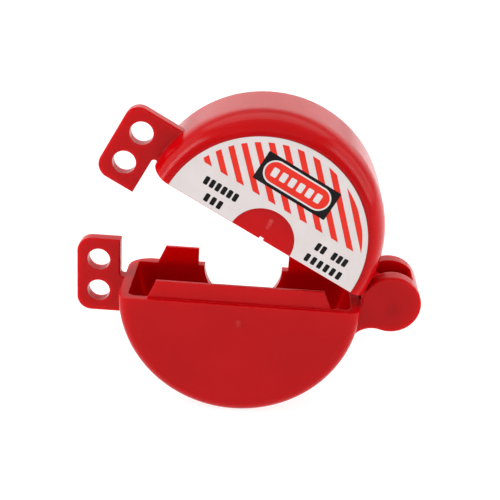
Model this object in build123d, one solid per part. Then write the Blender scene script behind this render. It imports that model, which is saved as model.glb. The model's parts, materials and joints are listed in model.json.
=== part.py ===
from build123d import *
import math
import os

# Hinged two-part cover that closes around a valve handwheel, with padlock ears.
# Frame: +Z up, front face towards -Y, hinge at +X, padlock ears at -X.
# Origin: centre of the stem opening, on the outside of the back wall. Millimetres.

# ---- shells ----
shell_radius = 41.0
shell_depth = 36.0
side_wall = 3.2
front_wall = 2.8
back_wall = 3.6
lower_front_round = (4.0, 4.0)     # across the face, and along the wall
lower_back_round = (8.0, 8.0)
upper_radius = 41.2        # the upper half stands slightly proud of the lower
upper_front_round = (6.0, 12.0)
upper_back_round = (3.5, 3.5)
cavity_front_round = 2.5
cavity_back_round = 0.8
split_gap = 0.2            # space between the two rims when closed
stem_radius = 14.0

# ---- lips of the lower half, and their rebates in the upper half ----
lip_height = 6.4
lip_thickness = 1.3
lip_half_width = 31.0
lip_root = 1.0             # how far a lip reaches down into its wall
lip_slant = 2.8            # how far each slanted end leans in over the lip's height
lip_stem_gap = 16.2        # half of the gap the stem leaves in the back lip
rebate_clearance = 0.2

# ---- padlock ears ----
ear_reach = 57.7
ear_half_height = 13.6
ear_thickness = 4.6
ear_corner = 5.0
ear_free_edge = 42.6       # edge of the half of an ear that stands clear of the shell
ear_slot_round = 1.0
ear_meeting_depth = 17.6   # depth behind the front face where the two ears meet
ear_gap = 0.3
shackle_x = 50.1
shackle_offset = 5.87
shackle_radius = 3.95
ear_edge_round = 0.5

# ---- hinge ----
hinge_x = 51.5
hinge_z = 1.0
lug_radius = 10.1
lug_thickness = 5.4
lug_gap = 10.2
lug_mid_depth = 17.3       # depth behind the front face of the middle of the hinge
lug_blend = 8.0            # hollow blend between lug and shell
lug_edge_round = 0.7
pocket_radius = 7.4
pocket_end_angle = 45.0    # where the wall behind the knuckle starts
knuckle_radius = 6.0
side_play = 1.0            # how far the upper half can slide along its pin, each way
knuckle_clearance = 0.3
arm_low = 0.5
arm_high = 4.5
pin_radius = 2.0
pin_lug_play = 0.02
pin_knuckle_play = 0.06
pin_blind_depth = 3.6
pin_end_gap = 0.2          # space left at the blind end of its hole
pin_recess = 0.1           # how far its open end sits inside the lug
pin_chamfer = 0.4

# ---- label and small moulding marks ----
label_outer = 34.8
label_inner = 11.0
label_thickness = 0.15
label_edge = 0.35          # height of its straight edge above the split plane
gate_offset = 6.1
gate_radius = 1.0
gate_height = 0.2
tear_nick = 1.6

# ---- pose ----
open_angle = 28.5
side_shift = -side_play     # the open half hangs at the front end of its play

front = -shell_depth
hinge_axis = Axis((hinge_x, 0, hinge_z), (0, 1, 0))


def drum(radius, y_low, y_high):
    """Cylinder along Y about the shell's axis."""
    return Pos(0, (y_low + y_high) / 2, 0) * Rot(90, 0, 0) * Cylinder(radius, y_high - y_low)


def plate(points, y_low, y_high):
    """Flat plate between two depths, from a closed outline of (x, z) points."""
    outline = Polyline(*[(x, y_low, z) for x, z in points], close=True)
    return extrude(make_face(outline), amount=y_high - y_low, dir=(0, 1, 0))


def disc(x, z, radius, y_low, y_high):
    """Cylinder along Y about a given (x, z)."""
    return Pos(x, 0, z) * drum(radius, y_low, y_high)


def edges_along_y(solid, x_limit):
    """Edges that run front to back, further out than x_limit on the ear side."""
    return [e for e in solid.edges().filter_by(Axis.Y) if e.center().X < x_limit]


def half_space(side):
    """Block that covers one half of the shells: side is +1 above, -1 below."""
    height = 2 * shell_radius
    start = split_gap if side > 0 else 0
    return Pos(0, front / 2, side * (height / 2) + start) * Box(4 * shell_radius, 3 * shell_depth, height)


def outer_drum(radius, front_round, back_round):
    """Whole outer form of the closed cover, with elliptical front and back corners."""
    (front_in, front_along), (back_in, back_along) = front_round, back_round
    flat_front, flat_back = radius - front_in, radius - back_in
    profile = Polyline((flat_back, 0), (0, 0), (0, front), (flat_front, front))
    profile += EllipticalCenterArc(
        (flat_front, front + front_along), front_in, front_along, start_angle=270, arc_size=90
    )
    profile += Line((radius, front + front_along), (radius, -back_along))
    profile += EllipticalCenterArc(
        (flat_back, -back_along), back_in, back_along, start_angle=0, arc_size=90
    )
    return revolve(make_face(profile), Axis.Y)


def cavity():
    body = drum(shell_radius - side_wall, front + front_wall, -back_wall)
    rims = body.edges().filter_by(GeomType.CIRCLE).sort_by(Axis.Y)
    body = fillet(rims[0], cavity_front_round)
    rims = body.edges().filter_by(GeomType.CIRCLE).sort_by(Axis.Y)
    return fillet(rims[-1], cavity_back_round)


def ear(side, y_low, y_high):
    """Padlock ear: joined to its own half (side), standing clear of the other."""
    inside = shell_radius - side_wall / 2
    own = side * ear_half_height
    root = side * split_gap if side > 0 else 0
    points = [
        (-ear_reach, own),
        (-math.sqrt(inside ** 2 - ear_half_height ** 2), own),
        (-inside, root),
        (-ear_free_edge, root),
        (-ear_free_edge, -own),
        (-ear_reach, -own),
    ]
    body = plate(points, y_low, y_high)
    body = fillet(edges_along_y(body, -ear_reach + 1), ear_corner)
    slot_end = [
        e for e in body.edges().filter_by(Axis.Y)
        if abs(e.center().X + ear_free_edge) < 0.1 and abs(e.center().Z - root) < 0.1
    ]
    body = fillet(slot_end, ear_slot_round)
    rims = [e for e in body.edges() - body.edges().filter_by(Axis.Y) if e.center().X < -ear_free_edge + 0.1]
    body = fillet(rims, ear_edge_round)
    for offset in (-shackle_offset, shackle_offset):
        body -= disc(-shackle_x, offset, shackle_radius, y_low - 1, y_high + 1)
    return body


def lip_outline(grow, reach_low):
    """Slanted-end outline of a lip; grow widens it for the rebate."""
    base = lip_half_width + grow
    top = lip_half_width - lip_slant + grow
    high = lip_height + grow
    return [(-base, reach_low), (-base, 0), (-top, high), (top, high), (base, 0), (base, reach_low)]


def lip_depths(grow=0, play=0):
    """Depth ranges of the front and back lips, flush with the inside of the walls."""
    front_inside = front + front_wall
    back_inside = -back_wall
    return [
        (front_inside - lip_thickness - grow, front_inside + grow),
        (back_inside - grow, back_inside + lip_thickness + grow + play),
    ]


def lips():
    (f_low, f_high), (b_low, b_high) = lip_depths()
    front_lip = plate(lip_outline(0, -lip_root), f_low, f_high)
    back_lip = plate(lip_outline(0, -lip_root), b_low, b_high)
    middle = Pos(0, (b_low + b_high) / 2, lip_height / 2)
    back_lip -= middle * Box(2 * lip_stem_gap, 4 * lip_thickness, lip_height)
    return front_lip, back_lip


def hinge_depths():
    mid = front + lug_mid_depth
    inner_low = mid - lug_gap / 2
    inner_high = mid + lug_gap / 2
    return inner_low - lug_thickness, inner_low, inner_high, inner_high + lug_thickness


def blend_centre():
    """Centre of the hollow blend that touches both the shell and the lug."""
    span = math.hypot(hinge_x, hinge_z)
    tilt = math.atan2(hinge_z, hinge_x)
    from_shell = shell_radius + lug_blend
    from_lug = lug_radius + lug_blend
    along = (from_shell ** 2 - from_lug ** 2 + span ** 2) / (2 * span)
    aside = math.sqrt(from_shell ** 2 - along ** 2)
    x = along * math.cos(tilt) + aside * math.sin(tilt)
    z = along * math.sin(tilt) - aside * math.cos(tilt)
    return x, z


def lug_plate(y_low, y_high):
    """Round lug with its neck to the lower shell."""
    blend_x, blend_z = blend_centre()
    inside = shell_radius - side_wall / 2
    scale = inside / math.hypot(blend_x, blend_z)
    neck = plate(
        [
            (inside, 0),
            (hinge_x - 0.7 * lug_radius, 0),
            (hinge_x, hinge_z),
            (blend_x, blend_z),
            (blend_x * scale, blend_z * scale),
        ],
        y_low,
        y_high,
    )
    neck -= disc(blend_x, blend_z, lug_blend, y_low - 1, y_high + 1)
    body = disc(hinge_x, hinge_z, lug_radius, y_low, y_high) + neck
    ends = body.faces().filter_by(Axis.Y).edges()
    return fillet(ends, lug_edge_round)


def hinge_pocket(y_low, y_high):
    """Space between the lugs that the knuckle and its arm swing through."""
    far = 2 * lug_radius
    end = math.radians(pocket_end_angle)
    swing = plate(
        [
            (hinge_x, hinge_z),
            (hinge_x + far * math.cos(end), hinge_z + far * math.sin(end)),
            (hinge_x - far, hinge_z + far),
            (hinge_x - lug_radius - 0.5, 0.05),
            (hinge_x - pocket_radius, -0.4 * pocket_radius),
        ],
        y_low,
        y_high,
    )
    return disc(hinge_x, hinge_z, pocket_radius, y_low, y_high) + swing


def gate_mark(side):
    return disc(0, side * gate_offset, gate_radius, front - gate_height, front + 1)


def make_lower_shell():
    out_low, in_low, in_high, out_high = hinge_depths()
    ear_low = front + ear_meeting_depth + ear_gap / 2
    body = outer_drum(shell_radius, lower_front_round, lower_back_round) & half_space(-1)
    body += ear(-1, ear_low, ear_low + ear_thickness)
    hinge = lug_plate(out_low, out_high) - hinge_pocket(in_low, in_high)
    body += hinge
    body -= cavity()
    for lip in lips():
        body += lip
    body -= disc(0, 0, stem_radius, -back_wall - 0.5, 1)
    body += gate_mark(-1)
    hole_start = out_low + lug_thickness - pin_blind_depth
    body -= disc(hinge_x, hinge_z, pin_radius + pin_lug_play, hole_start, out_high + 1)
    return body


def make_upper_shell():
    _, in_low, in_high, _ = hinge_depths()
    ear_high = front + ear_meeting_depth - ear_gap / 2 - side_shift
    arm_inset = knuckle_clearance + side_play
    arm_y = (in_low + arm_inset, in_high - arm_inset)
    body = outer_drum(upper_radius, upper_front_round, upper_back_round) & half_space(1)
    body += ear(1, ear_high - ear_thickness, ear_high)
    inside = shell_radius - side_wall / 2
    arm = plate(
        [(inside, arm_low), (hinge_x, arm_low), (hinge_x, arm_high), (inside, arm_high)],
        *arm_y,
    )
    body += arm
    body += disc(hinge_x, hinge_z, knuckle_radius, *arm_y)
    body -= cavity()
    for y_low, y_high in lip_depths(rebate_clearance, side_play):
        body -= plate(lip_outline(rebate_clearance, -lip_root), y_low, y_high)
    body -= disc(0, 0, stem_radius, -back_wall - 0.5, 1)
    body += gate_mark(1)
    body -= Pos(0, front, split_gap) * Box(tear_nick, 2 * front_wall, tear_nick)
    body -= disc(hinge_x, hinge_z, pin_radius + pin_knuckle_play, in_low, in_high)
    return body


def make_hinge_pin():
    _, in_low, _, out_high = hinge_depths()
    body = disc(hinge_x, hinge_z, pin_radius, in_low - pin_blind_depth + pin_end_gap, out_high - pin_recess)
    return chamfer(body.edges().filter_by(GeomType.CIRCLE), pin_chamfer)


def make_front_label():
    body = drum(label_outer, front - label_thickness, front)
    body -= drum(label_inner, front - 1, front + 1)
    keep = Pos(0, front, shell_radius + label_edge) * Box(4 * shell_radius, 4, 2 * shell_radius)
    return body & keep


def opened(solid):
    """Move a piece of the upper half from closed to its open pose."""
    return (Pos(0, side_shift, 0) * solid).rotate(hinge_axis, open_angle)


nodes = {
    "lower_shell": make_lower_shell(),
    "hinge_pin": make_hinge_pin(),
    "upper_shell": opened(make_upper_shell()),
    "front_label": opened(make_front_label()),
}

os.makedirs("parts", exist_ok=True)
for name, solid in nodes.items():
    export_step(solid, "parts/" + name + ".step")
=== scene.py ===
import json
import math

import bmesh
import bpy
from mathutils import Matrix, Vector


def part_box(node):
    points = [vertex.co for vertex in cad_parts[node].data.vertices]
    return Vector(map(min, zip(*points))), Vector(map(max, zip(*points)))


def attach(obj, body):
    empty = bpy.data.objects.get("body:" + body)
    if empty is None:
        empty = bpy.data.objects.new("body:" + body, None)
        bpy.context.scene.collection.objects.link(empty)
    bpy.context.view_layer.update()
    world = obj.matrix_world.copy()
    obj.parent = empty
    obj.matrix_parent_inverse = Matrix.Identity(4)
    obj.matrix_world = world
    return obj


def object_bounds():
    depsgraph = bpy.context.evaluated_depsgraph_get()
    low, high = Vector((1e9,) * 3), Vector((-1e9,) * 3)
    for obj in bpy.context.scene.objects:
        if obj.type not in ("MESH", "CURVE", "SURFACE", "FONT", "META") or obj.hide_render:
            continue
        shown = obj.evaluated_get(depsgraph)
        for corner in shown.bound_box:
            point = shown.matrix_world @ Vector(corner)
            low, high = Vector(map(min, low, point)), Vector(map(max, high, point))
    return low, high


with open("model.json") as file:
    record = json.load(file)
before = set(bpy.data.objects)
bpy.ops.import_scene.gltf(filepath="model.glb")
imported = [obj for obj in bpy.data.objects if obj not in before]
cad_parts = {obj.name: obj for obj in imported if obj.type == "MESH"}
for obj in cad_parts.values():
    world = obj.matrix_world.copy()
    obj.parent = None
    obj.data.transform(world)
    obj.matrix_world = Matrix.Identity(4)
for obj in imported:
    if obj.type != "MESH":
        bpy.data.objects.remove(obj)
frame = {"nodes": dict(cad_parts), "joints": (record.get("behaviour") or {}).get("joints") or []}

cad_lo, cad_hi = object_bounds()
nodes = frame["nodes"]
joint = frame["joints"][0]
hinge = Vector(joint["pos_m"])
rest_open = -math.radians(joint["range_deg"][0])     # the open half's turn from closed to rest
label_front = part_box("front_label")[0].y             # outside face of the film at rest
MM = 0.001

# ---------------------------------------------------------------- driving dimensions
# The print, in mm in the closed cover's frame. A box is left, right, bottom and top.
FIELD_RADIUS = 33.0          # round edge of the striped field
FIELD_FOOT = 12.9            # its straight lower edge
INK_SUNK = 0.01              # how far each layer of ink reaches into the film
STRIPE_COUNT = 12
STRIPE_START = -28.9
STRIPE_PITCH = 5.97
STRIPE_WIDTH = 2.75
STRIPE_RISE = 24.0
STRIPE_LEAN = 1.0            # sideways for each mm of height
PANEL = (-13.5, 13.5, 16.8, 27.2)
PANEL_CORNER = 0.3
PILL = (-11.6, 11.6, 18.45, 25.65)
PILL_CORNER = 3.6
PILL_RING = 0.55             # width of the pale ring round the pill
PILL_ROW = (20.4, 23.6)      # bottom and top of a row of blocks
UPPER_ROW = (6.6, 9.5)
LOWER_ROW = (1.7, 4.6)
PILL_BLOCK = 2.1             # width of a block
BLOCK = 1.55
BLOCK_CORNER = 0.45

# Marks left by moulding: pale spots round the stubs of the gates, partly stress whitening and partly a
# painted highlight, and a dished mark on the front lug, painted a deeper red as painted shade.
HALF_STUB = 0.1 * MM
HUB_GATE = 6.1               # mm above the centre of the closed cover
SPOT_CORE = 0.2 * MM
SPOT_RADIUS = 1.0 * MM
OVER_PIN = 2.0 * MM          # from the end of the pin to the front lug's face
LUG_MARK = (hinge.x + 0.7 * MM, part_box("hinge_pin")[0].y - OVER_PIN, hinge.z - 1.6 * MM)

# The set, in metres and watts.
FLOOR_HALF = 4.0
FLOOR_GAP = 0.02 * MM        # between the object and the floor
FLOOR_GLOW = 0.82
ROOM_GLOW = 0.42
SOFTBOXES = (                # name, place, width, height, power
    ("overhead", (0.0, -0.15, 0.95), 1.3, 1.3, 2.0),
    ("back", (0.0, 1.25, 0.34), 2.2, 0.55, 2.78),
    ("top_rear", (0.0, 0.6, 0.95), 1.6, 0.5, 3.6),
    ("front_high", (0.0, -0.95, 0.75), 0.9, 0.5, 1.0),
    ("side_left", (-1.0, -0.28, 0.50), 0.42, 0.9, 7.0),
    ("side_right", (1.0, -0.28, 0.50), 0.42, 0.9, 3.1),
    ("wide_left", (-1.0, -0.05, 0.50), 1.25, 0.85, 2.85),
    ("wide_right", (1.0, -0.05, 0.50), 1.25, 0.85, 4.7),
)
EYE = Vector((0.007921, -0.363571, 0.154146))
AIM = Vector((0.002213, -0.014224, 0.011619))
ROLL = math.radians(3.58)
SENSOR_MM = 36.0
LENS_MM = 77.864


# ---------------------------------------------------------------- outlines
def opened(x, z):
    """A point of the closed cover's front (mm) where the open half carries it at rest (m)."""
    dx = x * MM - hinge.x
    dz = z * MM - hinge.z
    c = math.cos(rest_open)
    s = math.sin(rest_open)
    return hinge.x + c * dx + s * dz, hinge.z - s * dx + c * dz


def side_of(start, end, point):
    """Positive where a point lies to the left of the line from start to end."""
    return (end[0] - start[0]) * (point[1] - start[1]) - (end[1] - start[1]) * (point[0] - start[0])


def clipped(outline, window):
    """The part of an outline inside a convex window, both counter-clockwise."""
    kept = list(outline)
    for start, end in zip(window, window[1:] + window[:1]):
        source = kept
        kept = []
        for p, q in zip(source, source[1:] + source[:1]):
            p_side = side_of(start, end, p)
            q_side = side_of(start, end, q)
            if p_side >= 0:
                kept.append(p)
            if (p_side >= 0) != (q_side >= 0):
                t = p_side / (p_side - q_side)
                kept.append((p[0] + t * (q[0] - p[0]), p[1] + t * (q[1] - p[1])))
        if not kept:
            return []
    return kept


def rounded_box(left, right, bottom, top, radius, steps):
    """A rectangle with round corners, counter-clockwise."""
    radius = min(radius, (right - left) / 2, (top - bottom) / 2)
    corners = (
        (right - radius, top - radius, 0),
        (left + radius, top - radius, 90),
        (left + radius, bottom + radius, 180),
        (right - radius, bottom + radius, 270),
    )
    points = []
    for x, z, first in corners:
        for i in range(steps + 1):
            a = math.radians(first + 90 * i / steps)
            points.append((x + radius * math.cos(a), z + radius * math.sin(a)))
    return points


def half_disc(radius, step=2):
    """The upper half of a disc round the cover's centre."""
    angles = [math.radians(a) for a in range(0, 181, step)]
    return [(radius * math.cos(a), radius * math.sin(a)) for a in angles]


def pill_outline(grow=0.0):
    """The pill, or the same shape larger all round."""
    left, right, bottom, top = PILL
    return rounded_box(left - grow, right + grow, bottom - grow, top + grow, PILL_CORNER + grow, 16)


def blocks(left, right, row, count, width, gaps=()):
    """A row of plain rounded blocks; gaps lists the blocks left out."""
    pitch = (right - left - width) / (count - 1)
    starts = [left + i * pitch for i in range(count) if i not in gaps]
    return [rounded_box(x, x + width, *row, BLOCK_CORNER, 5) for x in starts]


def leaning_stripes():
    """The slanted stripes, cut off at the round edge of the field."""
    window = half_disc(FIELD_RADIUS)
    shift = STRIPE_LEAN * STRIPE_RISE
    head = FIELD_FOOT + STRIPE_RISE
    stripes = []
    for i in range(STRIPE_COUNT):
        left = STRIPE_START + STRIPE_PITCH * i
        right = left + STRIPE_WIDTH
        bar = [(left, FIELD_FOOT), (right, FIELD_FOOT), (right - shift, head), (left - shift, head)]
        bar = clipped(bar, window)
        if len(bar) > 2:
            stripes.append(bar)
    return stripes


# ---------------------------------------------------------------- layers of ink
def add_object(name, data):
    obj = bpy.data.objects.new(name, data)
    bpy.context.scene.collection.objects.link(obj)
    return obj


def neighbours(count):
    """Each index of a closed outline with the next one."""
    return [(i, (i + 1) % count) for i in range(count)]


def raised(bm, outline, depths):
    """An outline's points at the front and at the back of a layer."""
    front = []
    back = []
    for x, z in outline:
        at_x, at_z = opened(x, z)
        front.append(bm.verts.new((at_x, depths[0], at_z)))
        back.append(bm.verts.new((at_x, depths[1], at_z)))
    return front, back


def close_edge(bm, front, back, inward=False):
    """The faces that join an outline's front to its back."""
    for i, j in neighbours(len(front)):
        corners = (front[i], front[j], back[j], back[i])
        bm.faces.new(corners[::-1] if inward else corners)


def close_faces(bm, outer, inner):
    """A layer's front and back, round its hole if it has one."""
    front, back = outer
    if inner is None:
        bm.faces.new(front[::-1])
        bm.faces.new(back)
        return
    hole_front, hole_back = inner
    for i, j in neighbours(len(front)):
        bm.faces.new((front[i], hole_front[i], hole_front[j], front[j]))
        bm.faces.new((back[i], back[j], hole_back[j], hole_back[i]))


def ink(name, shapes, material, proud, hole=None):
    """One layer of print: thin shapes standing proud of the label (mm), which ride on the open half."""
    bm = bmesh.new()
    depths = (label_front - proud * MM, label_front + INK_SUNK * MM)
    for shape in shapes:
        outer = raised(bm, shape, depths)
        inner = raised(bm, hole, depths) if hole else None
        close_edge(bm, *outer)
        if inner:
            close_edge(bm, *inner, inward=True)
        close_faces(bm, outer, inner)
    bmesh.ops.recalc_face_normals(bm, faces=bm.faces)
    mesh = bpy.data.meshes.new(name)
    bm.to_mesh(mesh)
    bm.free()
    mesh.materials.append(material)
    obj = add_object(name, mesh)
    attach(obj, "upper_half")


# ---------------------------------------------------------------- shader helpers
def new_material(name):
    material = bpy.data.materials.new(name)
    material.use_nodes = True
    nt = material.node_tree
    return material, nt, nt.nodes["Principled BSDF"]


def node(nt, kind, values=()):
    """A new node with some of its own number sockets set."""
    n = nt.nodes.new(kind)
    for name, value in values:
        n.inputs[name].default_value = value
    return n


def coords(nt, stretch=(1, 1, 1)):
    """Object coordinates, which stay with the surface as it moves."""
    place = nt.nodes.new("ShaderNodeTexCoord")
    mapping = node(nt, "ShaderNodeMapping", [("Scale", stretch)])
    nt.links.new(place.outputs["Object"], mapping.inputs["Vector"])
    return mapping.outputs["Vector"]


def noise(nt, vector, scale, detail=3.0, rough=0.5):
    n = node(nt, "ShaderNodeTexNoise", [("Scale", scale), ("Detail", detail), ("Roughness", rough)])
    nt.links.new(vector, n.inputs["Vector"])
    return n.outputs["Fac"]


def spread(nt, value, start, end, low, high):
    """A value from start to end becomes low to high, held at the ends."""
    limits = [("From Min", start), ("From Max", end), ("To Min", low), ("To Max", high)]
    n = node(nt, "ShaderNodeMapRange", limits)
    nt.links.new(value, n.inputs["Value"])
    return n.outputs["Result"]


def maths(nt, operation, a, b):
    """Two values, each a number or a socket, put together."""
    n = nt.nodes.new("ShaderNodeMath")
    n.operation = operation
    for i, value in enumerate((a, b)):
        if isinstance(value, (int, float)):
            n.inputs[i].default_value = value
        else:
            nt.links.new(value, n.inputs[i])
    return n.outputs[0]


def mixed(nt, factor, a, b):
    """Colour a where the factor is 0 and b where it is 1."""
    n = nt.nodes.new("ShaderNodeMix")
    n.data_type = "RGBA"
    nt.links.new(factor, n.inputs["Factor"])
    for name, value in (("A", a), ("B", b)):
        socket = [s for s in n.inputs if s.name == name and s.type == "RGBA"][0]
        if isinstance(value, tuple):
            socket.default_value = (*value, 1)
        else:
            nt.links.new(value, socket)
    return [s for s in n.outputs if s.type == "RGBA"][0]


def edges(nt, radius):
    """A mask, 0 on flat faces and rising to 1 on sharp edges, and the normal with those edges rounded."""
    bevel = node(nt, "ShaderNodeBevel", [("Radius", radius)])
    bevel.samples = 6
    surface = nt.nodes.new("ShaderNodeNewGeometry")
    dot = nt.nodes.new("ShaderNodeVectorMath")
    dot.operation = "DOT_PRODUCT"
    nt.links.new(bevel.outputs["Normal"], dot.inputs[0])
    nt.links.new(surface.outputs["Normal"], dot.inputs[1])
    return spread(nt, dot.outputs["Value"], 0.995, 0.86, 0.0, 1.0), bevel.outputs["Normal"]


def bump(nt, height, distance, strength, normal):
    n = node(nt, "ShaderNodeBump", [("Distance", distance), ("Strength", strength)])
    nt.links.new(height, n.inputs["Height"])
    nt.links.new(normal, n.inputs["Normal"])
    return n.outputs["Normal"]


def near(nt, point, inner, outer):
    """1 at a point of the rest pose, falling to 0 between two distances from it."""
    place = nt.nodes.new("ShaderNodeTexCoord")
    away = nt.nodes.new("ShaderNodeVectorMath")
    away.operation = "DISTANCE"
    nt.links.new(place.outputs["Object"], away.inputs[0])
    away.inputs[1].default_value = point
    return spread(nt, away.outputs["Value"], inner, outer, 1, 0)


def dots(nt, node_name, centre, places):
    """Soft spots at a shell's gate, each given by x and z in mm from a centre and by its strength."""
    middle_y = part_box(node_name)[0].y + HALF_STUB
    total = 0.0
    for x, z, strength in places:
        point = (centre[0] + x * MM, middle_y, centre[1] + z * MM)
        dot = maths(nt, "MULTIPLY", near(nt, point, SPOT_CORE, SPOT_RADIUS), strength)
        total = maths(nt, "MAXIMUM", dot, total)
    return total


# ---------------------------------------------------------------- materials
def gate_marks(nt):
    """Pale marks where the plastic entered, partly stress whitening and partly a painted highlight: a
    slanted streak on the hub, a faint pair on the lower wall.
    """
    streak = ((0.1, 1.3, 1.0), (-0.4, 0.2, 0.75), (-0.9, -0.9, 0.45))
    pair = ((0.3, -5.9, 0.32), (0.3, -7.3, 0.28))
    on_hub = dots(nt, "upper_shell", opened(0.0, HUB_GATE), streak)
    on_wall = dots(nt, "lower_shell", (0.0, 0.0), pair)
    return maths(nt, "MAXIMUM", on_hub, on_wall)


def moulded_red():
    """Glossy moulded plastic: slight colour flow, scuffs, worn edges, orange peel and moulding marks, with
    a painted highlight on the gate marks and painted shade on the dished lug mark.
    """
    material, nt, p = new_material("moulded_red")
    flow_red = (0.425, 0.0008, 0.0022)
    # painted shade: the deeper red painted on the dished mark of the front lug
    flow_light = (0.462, 0.0012, 0.0028)
    painted_shade_red = (0.368, 0.0004, 0.0014)
    worn_red = (0.60, 0.055, 0.065)
    # painted highlight: the pale gate colour is partly stress whitening and partly a painted highlight
    stress_and_highlight_red = (0.66, 0.16, 0.15)

    place = coords(nt)
    edge, soft = edges(nt, 0.4 * MM)
    broad = noise(nt, place, 38, 2)
    fine = noise(nt, place, 620, 4, 0.6)
    scuffs = noise(nt, coords(nt, (1, 1, 3.2)), 210, 5, 0.65)

    body = mixed(nt, spread(nt, broad, 0.35, 0.65, 0, 1), flow_red, flow_light)
    # the end of the steel pin lies close behind the dished mark. Painted shade: the mark is painted a
    # deeper red, standing in for its hollow reflecting less light
    body_with_painted_shade = mixed(nt, near(nt, LUG_MARK, 0.8 * MM, 3.6 * MM), body, painted_shade_red)
    worn = maths(nt, "MULTIPLY", edge, spread(nt, fine, 0.46, 0.64, 0.03, 0.40))
    used = mixed(nt, worn, body_with_painted_shade, worn_red)
    # painted highlight: pale spots at the gate stubs, part stress whitening and part painted highlight
    stress_and_highlight = maths(nt, "MULTIPLY", gate_marks(nt), spread(nt, fine, 0.40, 0.60, 0.30, 0.65))
    nt.links.new(mixed(nt, stress_and_highlight, used, stress_and_highlight_red), p.inputs["Base Color"])

    scuffed = spread(nt, scuffs, 0.46, 0.74, 0.17, 0.25)
    rough = maths(nt, "ADD", scuffed, spread(nt, broad, 0.3, 0.7, -0.015, 0.02))
    nt.links.new(maths(nt, "ADD", rough, maths(nt, "MULTIPLY", worn, 0.15)), p.inputs["Roughness"])

    peel = bump(nt, noise(nt, place, 520, 2), 0.03 * MM, 0.10, soft)
    flow = bump(nt, broad, 0.6 * MM, 0.10, peel)
    hollow = maths(nt, "SUBTRACT", 1.0, near(nt, LUG_MARK, 1.0 * MM, 3.4 * MM))
    nt.links.new(bump(nt, hollow, 0.12 * MM, 0.4, flow), p.inputs["Normal"])

    p.inputs["Specular IOR Level"].default_value = 0.13
    p.inputs["Subsurface Weight"].default_value = 0.60
    p.inputs["Subsurface Radius"].default_value = (1.0, 0.03, 0.04)
    p.inputs["Subsurface Scale"].default_value = 9 * MM
    return material


def drawn_steel():
    """A drawn steel pin: fine lines along its axis, a few dull spots."""
    material, nt, p = new_material("drawn_steel")
    dark_steel = (0.26, 0.26, 0.265)
    light_steel = (0.36, 0.355, 0.35)
    rubbed_steel = (0.46, 0.455, 0.45)

    lines = noise(nt, coords(nt, (1, 0.04, 1)), 2600, 5, 0.7)
    spots = noise(nt, coords(nt), 500, 3)
    edge, soft = edges(nt, 0.3 * MM)
    base = mixed(nt, spread(nt, lines, 0.35, 0.65, 0, 1), dark_steel, light_steel)
    nt.links.new(mixed(nt, edge, base, rubbed_steel), p.inputs["Base Color"])
    drawn = spread(nt, lines, 0.3, 0.7, 0.24, 0.38)
    nt.links.new(maths(nt, "ADD", drawn, spread(nt, spots, 0.5, 0.7, 0, 0.1)), p.inputs["Roughness"])
    nt.links.new(bump(nt, lines, 0.02 * MM, 0.4, soft), p.inputs["Normal"])
    p.inputs["Metallic"].default_value = 1.0
    return material


def printed(name, colour, darker, roughness, shine=0.3):
    """Satin film or ink: a little mottling, tiny pinholes and a fine calendered surface."""
    material, nt, p = new_material(name)
    place = coords(nt)
    mottle = noise(nt, place, 130, 4, 0.6)
    fine = noise(nt, place, 1400, 3, 0.6)
    edge, soft = edges(nt, 0.12 * MM)
    tone = mixed(nt, spread(nt, mottle, 0.36, 0.66, 0, 1), colour, darker)
    worn = maths(nt, "MULTIPLY", edge, spread(nt, fine, 0.4, 0.6, 0.1, 0.5))
    nt.links.new(mixed(nt, worn, tone, darker), p.inputs["Base Color"])
    nt.links.new(spread(nt, fine, 0.3, 0.7, roughness - 0.05, roughness + 0.07), p.inputs["Roughness"])
    nt.links.new(bump(nt, fine, 0.01 * MM, 0.35, soft), p.inputs["Normal"])
    p.inputs["Specular IOR Level"].default_value = shine
    return material


def finish_node(name, material):
    """Gives a CAD node its material."""
    for s in nodes[name].material_slots:
        s.material = material


red = moulded_red()
finish_node("lower_shell", red)
finish_node("upper_shell", red)
finish_node("hinge_pin", drawn_steel())
finish_node("front_label", printed("film_white", (0.69, 0.63, 0.62), (0.655, 0.595, 0.585), 0.42))
ink_red = printed("ink_red", (0.76, 0.030, 0.016), (0.70, 0.024, 0.012), 0.45, shine=0.15)
ink_black = printed("ink_black", (0.006, 0.005, 0.006), (0.011, 0.009, 0.010), 0.45, shine=0.10)
ink_white = printed("ink_white", (0.71, 0.66, 0.65), (0.67, 0.62, 0.61), 0.45)

# ---------------------------------------------------------------- print pieces
# each row of blocks runs from its first number to its second
left_blocks = blocks(-26.0, -13.7, UPPER_ROW, 6, BLOCK) + blocks(-23.0, -16.7, LOWER_ROW, 3, BLOCK)
right_blocks = blocks(16.3, 28.2, UPPER_ROW, 6, BLOCK, gaps=(2,)) + blocks(15.3, 29.0, LOWER_ROW, 6, BLOCK)
pill_blocks = blocks(-9.3, 8.9, PILL_ROW, 6, PILL_BLOCK)
ink("print_stripes", leaning_stripes(), ink_red, proud=0.010)
ink("print_panel", [rounded_box(*PANEL, PANEL_CORNER, 3)], ink_black, proud=0.020)
ink("print_ring", [pill_outline(PILL_RING)], ink_white, proud=0.030, hole=pill_outline())
ink("print_pill", [pill_outline()], ink_red, proud=0.028)
ink("print_pill_marks", pill_blocks, ink_white, proud=0.040)
ink("print_marks_left", left_blocks, ink_black, proud=0.014)
ink("print_marks_right", right_blocks, ink_black, proud=0.014)


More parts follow.
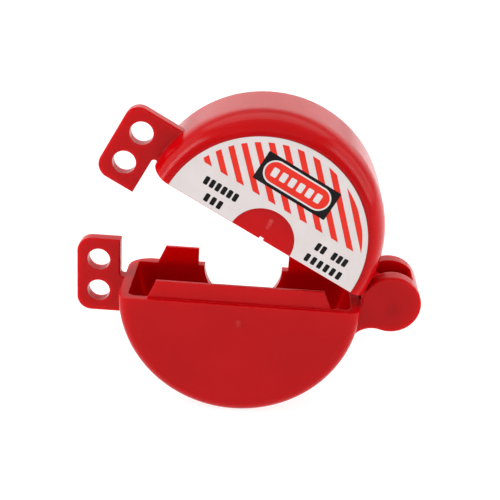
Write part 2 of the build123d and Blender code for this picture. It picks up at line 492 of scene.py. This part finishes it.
# ---------------------------------------------------------------- floor, light, camera
def pale_floor():
    """A plain floor that glows faintly, like a light table."""
    material, nt, p = new_material("floor_pale")
    place = coords(nt)
    tone = mixed(nt, noise(nt, place, 3, 3), (0.31, 0.31, 0.31), (0.34, 0.34, 0.34))
    nt.links.new(tone, p.inputs["Base Color"])
    nt.links.new(spread(nt, noise(nt, place, 160, 4), 0.3, 0.7, 0.85, 0.95), p.inputs["Roughness"])
    p.inputs["Emission Color"].default_value = (1, 1, 1, 1)
    p.inputs["Emission Strength"].default_value = FLOOR_GLOW

    bm = bmesh.new()
    bmesh.ops.create_grid(bm, x_segments=8, y_segments=8, size=FLOOR_HALF)
    mesh = bpy.data.meshes.new("floor")
    bm.to_mesh(mesh)
    bm.free()
    mesh.materials.append(material)
    floor = add_object("floor", mesh)
    floor.location.z = cad_lo.z - FLOOR_GAP


def white_room():
    world = bpy.data.worlds.new("studio")
    bpy.context.scene.world = world
    world.use_nodes = True
    background = world.node_tree.nodes["Background"]
    background.inputs["Color"].default_value = (1, 1, 1, 1)
    background.inputs["Strength"].default_value = ROOM_GLOW


def softbox(name, place, width, height, power):
    """A rectangular light facing the middle of the object."""
    centre = (cad_lo + cad_hi) / 2
    light = bpy.data.lights.new(name, "AREA")
    light.shape = "RECTANGLE"
    light.size = width
    light.size_y = height
    light.energy = power
    obj = add_object(name, light)
    obj.location = place
    obj.rotation_euler = (centre - Vector(place)).to_track_quat("-Z", "Y").to_euler()


def studio_camera():
    """A camera at EYE that looks at AIM, rolled a little about its own line of sight."""
    look = (AIM - EYE).normalized()
    level = look.cross(Vector((0, 0, 1))).normalized()
    over = level.cross(look)
    right = level * math.cos(ROLL) + over * math.sin(ROLL)
    up = right.cross(look)
    cam = bpy.data.cameras.new("camera")
    cam.sensor_width = SENSOR_MM
    cam.lens = LENS_MM
    cam.clip_start = 0.01
    cam.clip_end = 50.0
    camera = add_object("camera", cam)
    camera.matrix_world = Matrix.Translation(EYE) @ Matrix((right, up, -look)).transposed().to_4x4()
    bpy.context.scene.camera = camera


pale_floor()
white_room()
for box in SOFTBOXES:
    softbox(*box)
studio_camera()
bpy.context.scene.view_settings.view_transform = "Standard"
